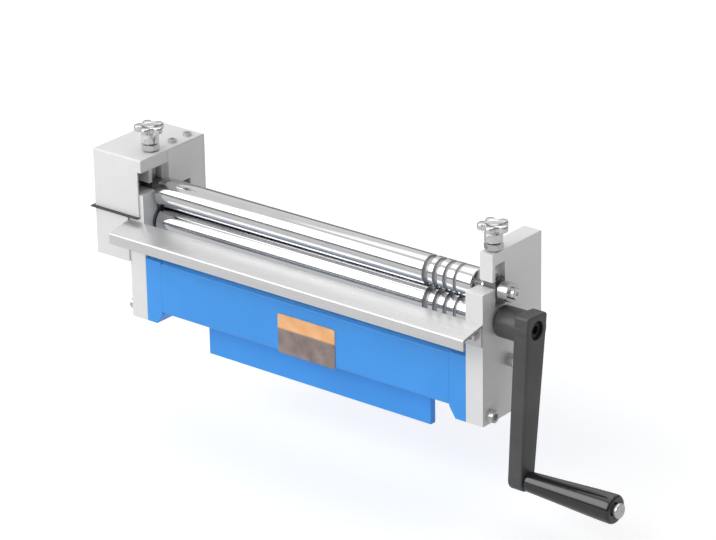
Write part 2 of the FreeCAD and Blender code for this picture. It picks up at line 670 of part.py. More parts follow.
def pressure_knob(side, label):
    """Cast knob: a tapered neck under a head with five lobes."""
    knob = body(label)
    neck = drawing(knob, "XZ")
    outline(neck, [
        ("0", "0"), ("knob_neck / 2 - 1", "0"), ("knob_neck / 2", "1"), ("knob_neck / 2", "knob_skirt * 0.6"),
        ("knob_body / 2", "knob_skirt"), ("knob_body / 2", "knob_skirt + knob_height"),
        ("0", "knob_skirt + knob_height"),
    ])
    turned(knob, neck, "V_Axis")
    lobe = drawing(knob, "XY", "knob_skirt")
    circle(lobe, "lobe_reach", "0", "lobe_dia")
    first = pad(knob, lobe, "knob_height")
    ring = knob.newObject("PartDesign::PolarPattern", knob.Name + "_lobes")
    ring.Originals = [first]
    ring.Axis = (lobe, ["N_Axis"])
    ring.Angle = 360
    ring.Occurrences = 5
    knob.Tip = ring
    top = size("knob_skirt") + size("knob_height")
    rounded(knob, "lobe_round", lambda edge: edge.BoundBox.ZMin > top - 0.01)
    bore = drawing(knob, "XY")
    circle(bore, "0", "0", "screw_dia")
    pocket(knob, bore, "knob_grip", back=True)
    return seat(knob, label, x=f"{side} * ({PLATE_FACE} + {JAW_MIDDLE})", y="pinch_y", z=knob_foot(side))


# Rolls

def roll(label, journal, left, right, y, z, tapped=False):
    """A ground roll with a journal at each end, turned as one bar, and its wire grooves at the crank end."""
    bar = body(label)
    face = drawing(bar, "XZ")
    skin = "(roll_dia / 2)"
    pin = f"({journal} / 2)"
    rim = f"{skin} - roll_chamfer"
    outline(face, [
        (f"-{left}", "0"), (f"-{left}", pin), (f"-{SHOULDER}", pin), (f"-{SHOULDER}", rim),
        (f"roll_chamfer - {SHOULDER}", skin), (f"{SHOULDER} - roll_chamfer", skin), (SHOULDER, rim),
        (SHOULDER, pin), (right, pin), (right, "0"),
    ])
    turned(bar, face)
    wires = drawing(bar, "XZ")
    for k in range(4):
        scallop(wires, f"({SHOULDER} - groove_first - {k} * groove_pitch)", skin,
                f"(groove_radius + {k} * groove_step)", "1")
    turned(bar, wires, kind="Groove")
    if tapped:
        end = drawing(bar, "YZ", right)
        circle(end, "0", "0", "screw_dia")
        pocket(bar, end, "crank_screw_long")
    return seat(bar, label, y=y, z=z)


def gear_outline():
    """Closed wire of one gear about the X axis: arcs for tips, roots and involute flanks."""
    teeth = round(size("gear_teeth"))
    module = size("gear_module")
    pitch = teeth * module / 2
    base = pitch * math.cos(math.radians(20))
    tip = pitch + module
    root = pitch - 1.25 * module

    def roll_angle(radius):
        return math.sqrt(max((radius / base) ** 2 - 1, 0)) - math.acos(min(base / radius, 1))

    half = math.pi / (2 * teeth) - size("gear_backlash") / (2 * pitch)

    def flank(radius, centre, side):
        angle = centre + side * (half + roll_angle(pitch) - roll_angle(max(radius, base)))
        return Vector(0, radius * math.sin(angle), radius * math.cos(angle))

    def spot(radius, angle):
        return Vector(0, radius * math.sin(angle), radius * math.cos(angle))

    edges = []
    for k in range(teeth):
        centre = 2 * math.pi * k / teeth
        middle = (base + tip) / 2
        rise = [flank(r, centre, -1) for r in (base, middle, tip)]
        fall = [flank(r, centre, 1) for r in (tip, middle, base)]
        start = spot(root, math.atan2(rise[0].y, rise[0].z))
        finish = spot(root, math.atan2(fall[2].y, fall[2].z))
        edges.append(Part.makeLine(start, rise[0]))
        edges.append(Part.Arc(*rise).toShape())
        edges.append(Part.Arc(rise[2], spot(tip, centre), fall[0]).toShape())
        edges.append(Part.Arc(*fall).toShape())
        edges.append(Part.makeLine(fall[2], finish))
        following = centre + 2 * math.pi / teeth
        next_rise = flank(base, following, -1)
        next_start = spot(root, math.atan2(next_rise.y, next_rise.z))
        edges.append(Part.Arc(finish, spot(root, centre + math.pi / teeth), next_start).toShape())
    return Part.Wire(Part.__sortEdges__(edges))


def roll_gear(label, journal, turn, z):
    """Spur gear on a roll's left end, with turn as the share of a tooth that it is set round by."""
    blank = Part.Face(gear_outline()).extrude(Vector(-size("gear_face"), 0, 0))
    bore = Part.makeCylinder(size(journal) / 2, size("gear_face"), Vector(0, 0, 0), Vector(-1, 0, 0))
    gear = doc.addObject("Part::Feature", label)
    shape = blank.cut(bore)
    shape.rotate(Vector(0, 0, 0), Vector(1, 0, 0), turn * 360 / size("gear_teeth"))
    gear.Shape = shape
    return seat(gear, label, x=f"-{PLATE_BACK} - gear_offset", y="pinch_y", z=z)


def gear_clip(label, journal, z):
    """Open retaining ring that holds a gear on its roll."""
    clip = body(label)
    face = drawing(clip, "XZ")
    oblong(face, ("-clip_thick", f"{journal} / 2"), ("0", f"{journal} / 2 + clip_rim"))
    turned(clip, face, angle=310)
    return seat(clip, label, x=f"-{PLATE_BACK} - {GEAR_OUT}", y="pinch_y", z=z)


def roll_collar():
    """Set collar that keeps the upper roll in its right block."""
    collar = body("upper_roll_collar")
    face = drawing(collar, "XZ")
    oblong(face, ("0", "upper_journal / 2"), ("collar_width", "upper_journal / 2 + collar_rim"))
    turned(collar, face)
    return seat(collar, "upper_roll_collar", x=f"{PLATE_BACK} + collar_gap", y="pinch_y", z=UPPER_Z)


# Crank

def crank_arm():
    """Cast crank: a round hub on the lower roll, and a tapered arm down to the grip."""
    crank = body("crank_arm")
    hub = drawing(crank, "YZ", "hub_gap")
    circle(hub, "0", "0", "hub_dia")
    pad(crank, hub, "hub_length")
    arm = drawing(crank, "YZ", f"{HUB_OUT} - arm_thick")
    outline(arm, [
        ("-arm_root / 2", "0"), ("arm_root / 2", "0"),
        ("arm_tip / 2", "-crank_throw"), ("-arm_tip / 2", "-crank_throw"),
    ])
    pad(crank, arm, "arm_thick")
    end = drawing(crank, "YZ", f"{HUB_OUT} - arm_thick")
    circle(end, "0", "-crank_throw", "arm_tip")
    pad(crank, end, "arm_thick")
    outer = size("hub_gap") + size("hub_length")
    rounded(crank, "arm_round", lambda edge: edge.BoundBox.XMin > outer - 0.01)
    bore = drawing(crank, "YZ", "hub_gap")
    circle(bore, "0", "0", "lower_journal")
    pocket(crank, bore, "hub_length", back=True)
    recess = drawing(crank, "YZ", HUB_OUT)
    circle(recess, "0", "0", "hub_recess_dia")
    pocket(crank, recess, "hub_recess")
    tip = drawing(crank, "YZ", HUB_OUT)
    circle(tip, "0", "-crank_throw", "axle_dia")
    pocket(crank, tip, "arm_thick")
    crank.Placement.Rotation = FreeCAD.Rotation(Vector(1, 0, 0), -size("crank_lean"))
    bind(crank, **{"Placement.Rotation.Angle": "-crank_lean"})
    return seat(crank, "crank_arm", x=PLATE_BACK, y="pinch_y", z=LOWER_Z)


def crank_screw():
    """Socket screw in the end of the lower roll, with its washer face on the floor of the hub's recess."""
    rise = f"{PLATE_BACK} + {HUB_OUT} - hub_recess"
    return cap_screws("crank_screw", "YZ", rise, [("pinch_y", LOWER_Z)], "screw_dia", "crank_screw_head",
                      "crank_screw_tall", "crank_screw_long", True)


def grip_axle():
    """Shoulder bolt that is fixed in the arm and carries the grip."""
    axle = body("grip_axle")
    face = drawing(axle, "XZ")
    end = "(arm_thick + 2 * grip_gap + grip_length)"
    pin = "(axle_dia / 2)"
    head = "(axle_head / 2)"
    outline(face, [
        ("0", "0"), ("0", pin), (end, pin), (end, head), (f"{end} + axle_head_tall - 1", head),
        (f"{end} + axle_head_tall", f"{head} - 1"), (f"{end} + axle_head_tall", "0"),
    ])
    turned(axle, face)
    return seat(axle, "grip_axle", x=f"{PLATE_BACK} + {HUB_OUT} - arm_thick", y=GRIP_Y, z=GRIP_Z)


def grip():
    """Turned grip that swells towards its outer end."""
    handle = body("grip")
    face = drawing(handle, "XZ")
    bore = "(axle_dia / 2 + running_gap)"
    waist = "grip_small * 0.2 + grip_large * 0.3"
    outline(face, [
        ("0", bore), ("0", "grip_small / 2"), ("grip_length * 0.55", waist),
        ("grip_length * 0.9", "grip_large / 2"), ("grip_length", "grip_large / 2"), ("grip_length", bore),
    ])
    turned(handle, face)
    length = size("grip_length")

    def rim(edge):
        box = edge.BoundBox
        flat = box.XLength < 0.01 and box.YLength > size("axle_dia") + 1
        return flat and (box.XMin < 0.1 or box.XMin > length - 0.1)

    rounded(handle, "grip_round", rim)
    return seat(handle, "grip", x=f"{PLATE_BACK} + {HUB_OUT} + grip_gap", y=GRIP_Y, z=GRIP_Z)


def rear_adjuster(side, label):
    """Long set screw in the underside of an end plate that lifts the bending roll's block."""
    rod = body(label)
    face = drawing(rod, "XY", "adjuster_inset")
    across = f"{side} * ({PLATE_FACE} + rear_pocket / 2)"
    circle(face, across, "rear_roll_y", "screw_dia")
    pad(rod, face, f"{REAR_Z} - block_height / 2 - adjuster_inset")
    socket = drawing(rod, "XY", "adjuster_inset")
    hexagon(socket, across, "rear_roll_y", "adjuster_socket")
    pocket(rod, socket, "socket_depth", back=True)
    return seat(rod, label)


def build():
    block_x = f"({PLATE_FACE} + jaw_relief + 3 * slide_gap)"
    block_long = "plate_thick - jaw_relief - 4 * slide_gap"
    rear_x = f"({PLATE_FACE} + 3 * slide_gap)"
    rear_long = "rear_pocket - 6 * slide_gap"
    for side, name in ((-1, "left"), (1, "right")):
        sign = "-" if side < 0 else ""
        end_plate(side, name + "_end_plate")
        lower_bush(side, name + "_lower_bush")
        end_foot(side, name + "_beam_foot")
        beam_screws(side, name + "_beam_screws")
        bearing_block(name + "_upper_block", "slot_width", block_long, "upper_journal", sign + block_x,
                      "pinch_y", UPPER_Z)
        bearing_block(name + "_rear_block", "rear_block_width", rear_long, "rear_journal", sign + rear_x,
                      "rear_roll_y", REAR_Z)
        pressure_screw(side, name + "_pressure_screw")
        lock_nut(side, name + "_lock_nut")
        pressure_knob(side, name + "_pressure_knob")
        rear_adjuster(side, name + "_rear_adjuster")
    base_beam()
    vise_tab()
    feed_table()
    table_screws()
    upper_gear_cover()
    lower_gear_cover()
    upper_cover_screws()
    lower_cover_screws()
    gear_end = f"({PLATE_BACK} + {GEAR_OUT} + shaft_stub)"
    collar_end = f"({PLATE_BACK} + collar_gap + collar_width + collar_stub)"
    crank_end = f"({PLATE_BACK} + {HUB_OUT} - hub_recess)"
    rear_end = f"({PLATE_FACE} + rear_pocket - 2)"
    roll("upper_roll", "upper_journal", gear_end, collar_end, "pinch_y", UPPER_Z)
    roll("lower_roll", "lower_journal", gear_end, crank_end, "pinch_y", LOWER_Z, tapped=True)
    roll("rear_roll", "rear_journal", rear_end, rear_end, "rear_roll_y", REAR_Z)
    roll_gear("upper_roll_gear", "upper_journal", 0.5, UPPER_Z)
    roll_gear("lower_roll_gear", "lower_journal", 0, LOWER_Z)
    gear_clip("upper_gear_clip", "upper_journal", UPPER_Z)
    gear_clip("lower_gear_clip", "lower_journal", LOWER_Z)
    roll_collar()
    crank_arm()
    crank_screw()
    grip_axle()
    grip()


def check_and_write():
    """Stops on any failed object, then writes each sub-part to its own file."""
    doc.recompute()
    failed = [thing.Name for thing in doc.Objects if {"Invalid", "Error"} & set(thing.State)]
    if failed:
        raise RuntimeError("these objects failed: " + ", ".join(failed))
    for piece in pieces:
        if piece.Shape.isNull() or not piece.Shape.isValid():
            raise RuntimeError(piece.Label + " has no valid shape")
    os.makedirs("parts", exist_ok=True)
    for piece in pieces:
        piece.Shape.exportStep(f"parts/{piece.Label}.step")
        box = piece.Shape.BoundBox
        print(piece.Label, len(piece.Shape.Solids), "solids", round(piece.Shape.Volume), "mm3",
              [round(v, 1) for v in (box.XMin, box.YMin, box.ZMin, box.XMax, box.YMax, box.ZMax)])


build()
check_and_write()
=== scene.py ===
"""Slip roll machine: turned and beveled pieces, their finishes and a plain studio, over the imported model.

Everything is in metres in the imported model's frame: X along the rolls, Y back from the feed side, Z up.
"""
import json
import math

import bmesh
import bpy
from mathutils import Matrix, Vector

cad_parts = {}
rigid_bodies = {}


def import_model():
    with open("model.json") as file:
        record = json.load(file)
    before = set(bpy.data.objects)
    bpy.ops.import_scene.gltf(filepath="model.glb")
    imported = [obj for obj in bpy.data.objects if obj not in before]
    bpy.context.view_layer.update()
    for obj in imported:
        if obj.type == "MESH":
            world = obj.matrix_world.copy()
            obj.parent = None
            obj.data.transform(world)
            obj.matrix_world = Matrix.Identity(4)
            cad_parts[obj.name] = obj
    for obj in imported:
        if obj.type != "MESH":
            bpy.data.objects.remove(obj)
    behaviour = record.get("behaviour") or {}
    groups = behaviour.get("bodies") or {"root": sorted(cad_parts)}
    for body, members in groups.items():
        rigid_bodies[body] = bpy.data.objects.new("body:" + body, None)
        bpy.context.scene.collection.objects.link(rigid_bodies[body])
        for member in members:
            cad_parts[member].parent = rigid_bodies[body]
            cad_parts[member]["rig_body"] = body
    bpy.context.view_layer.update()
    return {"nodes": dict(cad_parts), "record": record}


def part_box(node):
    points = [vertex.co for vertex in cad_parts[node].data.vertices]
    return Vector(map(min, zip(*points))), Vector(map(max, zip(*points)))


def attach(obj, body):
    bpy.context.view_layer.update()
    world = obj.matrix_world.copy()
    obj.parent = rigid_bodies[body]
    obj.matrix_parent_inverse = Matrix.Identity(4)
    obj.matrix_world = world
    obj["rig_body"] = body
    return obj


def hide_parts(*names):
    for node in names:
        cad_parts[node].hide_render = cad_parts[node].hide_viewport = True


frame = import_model()
NODES = frame["nodes"]
SLOT_OF = {row["node"]: row["material_slot"] for row in frame["record"]["subparts"]}
MM = 0.001
GROOVE_MARK = "groove"


def axis_of(node):
    """The (y, z) of a round CAD node's own axis, to a tenth of a millimetre."""
    low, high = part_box(node)
    middle = (low + high) / 2
    return round(middle.y, 4), round(middle.z, 4)


def reach_of(node):
    """The x where a CAD node starts and ends, to a tenth of a millimetre."""
    low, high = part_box(node)
    return round(low.x, 4), round(high.x, 4)


# Finishes

class Finish:
    """One finish: a Principled shader fed by patterns that lie in the object's own coordinates."""

    def __init__(self, name, **values):
        self.material = bpy.data.materials.new(name)
        self.material.use_nodes = True
        self.nodes = self.material.node_tree.nodes
        self.links = self.material.node_tree.links
        self.shader = self.nodes["Principled BSDF"]
        for socket, value in values.items():
            self.shader.inputs[socket.replace("_", " ")].default_value = value
        self.place = self.nodes.new("ShaderNodeTexCoord").outputs["Object"]
        self.heights = []

    def node(self, kind, **inputs):
        """A shader node with its inputs by name, as sockets or numbers."""
        made = self.nodes.new("ShaderNode" + kind)
        for name, value in inputs.items():
            socket = made.inputs[name.replace("_", " ")]
            if isinstance(value, bpy.types.NodeSocket):
                self.links.new(value, socket)
            else:
                socket.default_value = value
        return made

    def grain(self, per_metre, detail=3.0, stretch=(1, 1, 1), roughness=0.55):
        """Noise with so many features to the metre, drawn out where stretch is under 1."""
        mapping = self.node("Mapping", Vector=self.place, Scale=tuple(per_metre * s for s in stretch))
        noise = self.node(
            "TexNoise", Vector=mapping.outputs[0], Scale=1.0, Detail=detail, Roughness=roughness
        )
        return noise.outputs["Fac"]

    def span(self, value, low, high, start=0.3, end=0.7):
        """A value moved from the range start to end into the range low to high."""
        made = self.node("MapRange", Value=value)
        for name, number in (("From Min", start), ("From Max", end), ("To Min", low), ("To Max", high)):
            made.inputs[name].default_value = number
        return made.outputs["Result"]

    def calc(self, operation, *values):
        """One step of arithmetic on sockets or numbers."""
        made = self.node("Math")
        made.operation = operation
        for socket, value in zip(made.inputs, values):
            if isinstance(value, bpy.types.NodeSocket):
                self.links.new(value, socket)
            else:
                socket.default_value = value
        return made.outputs[0]

    def blend(self, value, first, second):
        """A colour between two, by a value."""
        made = self.node("Mix")
        made.data_type = "RGBA"
        self.links.new(value, made.inputs["Factor"])
        for name, colour in (("A", first), ("B", second)):
            socket = next(s for s in made.inputs if s.name == name and s.type == "RGBA")
            if isinstance(colour, bpy.types.NodeSocket):
                self.links.new(colour, socket)
            else:
                socket.default_value = (*colour, 1)
        return next(s for s in made.outputs if s.type == "RGBA")

    def colour(self, value):
        """Feeds the surface's colour."""
        self.links.new(value, self.shader.inputs["Base Color"])
        return self

    def rough(self, value):
        """Feeds the surface's roughness."""
        self.links.new(value, self.shader.inputs["Roughness"])
        return self

    def relief(self, height, depth, strength=1.0):
        """Adds a bump of a real depth in metres on top of those before it."""
        bump = self.node("Bump", Height=height, Distance=depth, Strength=strength)
        if self.heights:
            self.links.new(self.heights[-1], bump.inputs["Normal"])
        self.heights.append(bump.outputs["Normal"])
        self.links.new(bump.outputs["Normal"], self.shader.inputs["Normal"])
        return self


def shades(colour, spread):
    """A colour made darker and lighter by a share."""
    return tuple(c * (1 - spread) for c in colour), tuple(min(c * (1 + spread), 1) for c in colour)


def ground_steel(name, colour, lines, roughness, metallic):
    """Steel with a fine grain, drawn out into grinding lines along an axis where lines is under 1."""
    finish = Finish(name, Metallic=metallic)
    marks = finish.grain(2400, 4, lines)
    cloud = finish.grain(25, 2)
    tone = finish.blend(finish.span(marks, 0, 1), *shades(colour, 0.04))
    finish.colour(finish.blend(finish.span(cloud, 0, 0.25), tone, tuple(c * 0.94 for c in colour)))
    finish.rough(finish.span(marks, roughness - 0.04, roughness + 0.06))
    return finish.relief(marks, 0.000012, 0.4).material


def turned_chrome(name, colour, roughness=0.09):
    """Ground and polished rolls, with fine rings from the wheel, and turned grooves that are rougher and
    darkened by painted shade.
    """
    groove_shade = (0.42, 0.42, 0.43)
    finish = Finish(name, Metallic=1.0)
    rings = finish.grain(2600, 3, (1, 0.004, 0.004))
    smear = finish.grain(30, 3)
    groove = finish.node("Attribute")
    groove.attribute_name = GROOVE_MARK
    bright = finish.blend(finish.span(smear, 0, 1), *shades(colour, 0.03))
    # Painted shade: inside the wire grooves the colour turns darker, standing in for the shade that falls in
    # them.
    finish.colour(finish.blend(groove.outputs["Fac"], bright, groove_shade))
    wear = finish.span(smear, roughness * 0.7, roughness * 1.6)
    finish.rough(finish.calc("ADD", wear, finish.span(groove.outputs["Fac"], 0, 0.3, 0, 1)))
    return finish.relief(rings, 0.000004, 0.4).material


def blue_enamel():
    """Sprayed enamel over steel, with its orange peel and a thin clear surface."""
    colour = (0.048, 0.315, 0.830)
    finish = Finish("blue_enamel", Coat_Weight=0.2, Coat_Roughness=0.15, Specular_IOR_Level=0.35)
    cloud = finish.grain(14, 3)
    finish.colour(finish.blend(finish.span(cloud, 0, 1), *shades(colour, 0.05)))
    peel = finish.grain(420, 2)
    finish.rough(finish.span(cloud, 0.30, 0.38))
    return finish.relief(peel, 0.00005, 0.35).material


def pale_sheet():
    """Light grey baked paint on the folded covers, with a painted shadow: a dark line just below the top of
    the lower cover, where the upper cover's hem shades it.
    """
    colour = (0.76, 0.76, 0.755)
    hem_shadow_colour = (0.05, 0.05, 0.05)
    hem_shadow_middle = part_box("lower_gear_cover")[1].z + 0.2 * MM
    hem_shadow_half = 1.2 * MM
    finish = Finish("pale_sheet", Metallic=0.15, Specular_IOR_Level=0.45)
    cloud = finish.grain(18, 3)
    paint = finish.blend(finish.span(cloud, 0, 1), *shades(colour, 0.025))
    height = finish.node("SeparateXYZ", Vector=finish.place).outputs["Z"]
    # Painted shadow: a dark band 2.4 mm tall round the top edge of the lower cover, standing in for the shade
    # under the upper cover's hem.
    line = finish.calc("COMPARE", height, hem_shadow_middle, hem_shadow_half)
    finish.colour(finish.blend(line, paint, hem_shadow_colour))
    finish.rough(finish.span(finish.grain(300, 2), 0.36, 0.46))
    return finish.relief(finish.grain(1100, 2), 0.00002, 0.3).material


def polished_sheet():
    """Bright sheet of the feed table, with long faint rolling lines and rubbed patches."""
    colour = (0.70, 0.70, 0.705)
    finish = Finish("polished_sheet", Metallic=0.6)
    lines = finish.grain(1100, 3, (0.02, 1, 1))
    patch = finish.grain(14, 1.5, (0.4, 1, 1))
    tone = finish.blend(finish.span(lines, 0, 1), *shades(colour, 0.04))
    finish.colour(finish.blend(finish.span(patch, 0, 0.2), tone, (0.62, 0.62, 0.63)))
    finish.rough(finish.span(patch, 0.25, 0.32))
    return finish.relief(lines, 0.000006, 0.3).material


def plated_casting(name, colour, roughness, depth):
    """Cast and plated metal: bright, with a soft cast skin below the plating."""
    finish = Finish(name, Metallic=1.0)
    skin = finish.grain(500, 3)
    finish.colour(finish.blend(finish.span(skin, 0, 1), *shades(colour, 0.06)))
    finish.rough(finish.span(finish.grain(120, 2), roughness * 0.8, roughness * 1.3))
    return finish.relief(skin, depth, 0.6).material


def bearing_iron():
    """Machined grey bearing iron, dark with oil."""
    finish = Finish("bearing_iron", Metallic=0.8)
    marks = finish.grain(1200, 3, (0.05, 1, 1))
    finish.colour(finish.blend(finish.span(marks, 0, 1), (0.10, 0.10, 0.105), (0.19, 0.19, 0.195)))
    finish.rough(finish.span(finish.grain(90, 2), 0.28, 0.42))
    return finish.relief(marks, 0.00001, 0.4).material


def black_oxide():
    """Blackened steel of the set screws, the crank's screw and the gears' rings, worn grey in places."""
    finish = Finish("black_oxide", Metallic=0.7)
    worn = finish.grain(160, 4)
    bare = finish.span(worn, 0, 1, 0.55, 0.8)
    finish.colour(finish.blend(bare, (0.028, 0.028, 0.030), (0.10, 0.10, 0.105)))
    finish.rough(finish.span(worn, 0.34, 0.5))
    return finish.relief(finish.grain(900, 2), 0.00001, 0.4).material


def satin_casting():
    """Dark stove enamel on the cast crank, with the sand's grain showing through."""
    finish = Finish("satin_casting", Specular_IOR_Level=0.55, Coat_Weight=0.15, Coat_Roughness=0.3)
    sand = finish.grain(650, 4)
    cloud = finish.grain(30, 3)
    finish.colour(finish.blend(finish.span(cloud, 0, 1), (0.050, 0.050, 0.052), (0.070, 0.070, 0.072)))
    finish.rough(finish.span(sand, 0.36, 0.50))
    return finish.relief(sand, 0.00008, 0.5).material


def gloss_black():
    """Moulded grip: glossy black, with flow marks along it that only the highlights show."""
    finish = Finish("gloss_black", Specular_IOR_Level=0.6, Coat_Weight=0.6, Coat_Roughness=0.06)
    flow = finish.grain(260, 3, (0.06, 1, 1))
    finish.colour(finish.blend(finish.span(flow, 0, 1), (0.006, 0.006, 0.0065), (0.014, 0.014, 0.015)))
    finish.rough(finish.span(flow, 0.14, 0.22))
    return finish.relief(flow, 0.00001, 0.3).material


def two_tone_plate(low, high):
    """Bare plate between two heights: warm above and grey-brown below, with nothing on it."""
    finish = Finish("two_tone_plate", Specular_IOR_Level=0.4)
    height = finish.node("SeparateXYZ", Vector=finish.place).outputs["Z"]
    rise = finish.span(height, 0, 1, low, high)
    warm = finish.blend(finish.span(finish.grain(60, 2), 0, 1), (0.88, 0.42, 0.16), (0.95, 0.58, 0.30))
    dull = finish.blend(finish.span(finish.grain(90, 3), 0, 1), (0.20, 0.155, 0.14), (0.33, 0.26, 0.235))
    finish.colour(finish.blend(finish.span(rise, 0, 1, 0.60, 0.66), dull, warm))
    finish.rough(finish.span(finish.grain(140, 2), 0.35, 0.5))
    return finish.relief(finish.grain(700, 2), 0.00001, 0.3).material


FINISHES = {
    "plate_steel": ground_steel(
        "ground_plate", (0.82, 0.82, 0.82), lines=(1, 0.03, 1), roughness=0.36, metallic=0.25
    ),
    "bearing_iron": bearing_iron(),
    "blue_paint": blue_enamel(),
    "screw_steel": ground_steel(
        "bright_zinc", (0.68, 0.68, 0.69), lines=(1, 1, 1), roughness=0.26, metallic=1.0
    ),
    "polished_sheet": polished_sheet(),
    "cover_sheet": pale_sheet(),
    "knob_chrome": plated_casting("plated_knob", (0.80, 0.80, 0.80), roughness=0.16, depth=0.00004),
    "roll_chrome": turned_chrome("polished_roll", (0.72, 0.72, 0.73)),
    "gear_steel": ground_steel(
        "cut_gear", (0.34, 0.34, 0.35), lines=(0.04, 1, 1), roughness=0.32, metallic=1.0
    ),
    "dark_steel": black_oxide(),
    "crank_iron": satin_casting(),
    "grip_black": gloss_black(),
}


# Making pieces

def shade(mesh, angle=32):
    """Smooth faces, with sharp edges where the surface turns by more than the angle."""
    bm = bmesh.new()
    bm.from_mesh(mesh)
    for face in bm.faces:
        face.smooth = True
    for edge in bm.edges:
        edge.smooth = len(edge.link_faces) == 2 and edge.calc_face_angle(0) < math.radians(angle)
    bm.to_mesh(mesh)
    bm.free()


def placed(name, data):
    """An object in the scene that shows a mesh, a lamp or a camera."""
    made = bpy.data.objects.new(name, data)
    bpy.context.scene.collection.objects.link(made)
    return made


def piece(name, mesh, *nodes, angle=32):
    """Shows a mesh in place of CAD nodes of one body, in the finish of their slot."""
    shade(mesh, angle)
    made = placed(name, mesh)
    mesh.materials.clear()
    mesh.materials.append(FINISHES[SLOT_OF[nodes[0]]])
    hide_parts(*nodes)
    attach(made, NODES[nodes[0]]["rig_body"])
    return made


def mesh_of(name, points, faces):
    """A mesh with its doubles merged and its faces turned outwards."""
    mesh = bpy.data.meshes.new(name)
    mesh.from_pydata(points, [], faces)
    bm = bmesh.new()
    bm.from_mesh(mesh)
    bmesh.ops.remove_doubles(bm, verts=bm.verts, dist=1e-7)
    bmesh.ops.recalc_face_normals(bm, faces=bm.faces)
    bm.to_mesh(mesh)
    bm.free()
    return mesh


def joined(name, *meshes):
    """One mesh from several."""
    bm = bmesh.new()
    for mesh in meshes:
        bm.from_mesh(mesh)
    made = bpy.data.meshes.new(name)
    bm.to_mesh(made)
    bm.free()
    return made


def bored(mesh, cutter):
    """The mesh with a cutter's solid taken out of it."""
    hosts = [placed("host", shape) for shape in (mesh, cutter)]
    cut = hosts[0].modifiers.new("cut", "BOOLEAN")
    cut.object = hosts[1]
    graph = bpy.context.evaluated_depsgraph_get()
    made = bpy.data.meshes.new_from_object(hosts[0].evaluated_get(graph))
    for host in hosts:
        bpy.data.objects.remove(host)
    return made


def stacked(name, rings):
    """A closed shape through rings of equally many points, with a flat face on the first and the last."""
    count = len(rings[0])
    points = [point for ring in rings for point in ring]
    last = (len(rings) - 1) * count
    faces = [tuple(range(count)), tuple(range(last, last + count))]
    for low in range(0, last, count):
        high = low + count
        steps = [(i, (i + 1) % count) for i in range(count)]
        faces += [(low + i, low + j, high + j, high + i) for i, j in steps]
    return mesh_of(name, points, faces)


def wrapped(name, sections):
    """A ring of closed sections, each joined to the next and the last to the first."""
    count = len(sections[0])
    points = [point for section in sections for point in section]
    faces = []
    for k in range(len(sections)):
        here, there = k * count, (k + 1) % len(sections) * count
        steps = [(i, (i + 1) % count) for i in range(count)]
        faces += [(here + i, here + j, there + j, there + i) for i, j in steps]
    return mesh_of(name, points, faces)


def lathe(name, profile, centre, steps=128):
    """A closed shape turned about a line along X.

    The profile is a ring of (x, radius), and centre is the line's (y, z).
    """
    y, z = centre
    turns = [2 * math.pi * k / steps for k in range(steps)]
    return wrapped(name, [[(x, y + r * math.cos(a), z + r * math.sin(a)) for x, r in profile] for a in turns])


def arc(centre_x, centre_r, radius, start, end, steps):
    """Points of an arc in a lathe profile, from one angle in degrees to another."""
    angles = [math.radians(start + (end - start) * k / steps) for k in range(steps + 1)]
    return [(centre_x + radius * math.cos(a), centre_r + radius * math.sin(a)) for a in angles]


def eased(made, width, segments=2):
    """Rounds the sharp edges of a piece by a live bevel."""
    bevel = made.modifiers.new("eased_edges", "BEVEL")
    bevel.width = width
    bevel.segments = segments
    bevel.limit_method = "ANGLE"
    bevel.angle_limit = math.radians(32)
    bevel.harden_normals = True
    return made


def dressed(node, ease):
    """A merged copy of a CAD node with eased edges."""
    bm = bmesh.new()
    bm.from_mesh(NODES[node].data)
    bmesh.ops.remove_doubles(bm, verts=bm.verts, dist=1e-6)
    bmesh.ops.dissolve_limit(bm, angle_limit=math.radians(0.5), verts=bm.verts, edges=bm.edges)
    mesh = bpy.data.meshes.new(node + "_look")
    bm.to_mesh(mesh)
    bm.free()
    return eased(piece(node + "_look", mesh, node), ease)


# Geometry trees

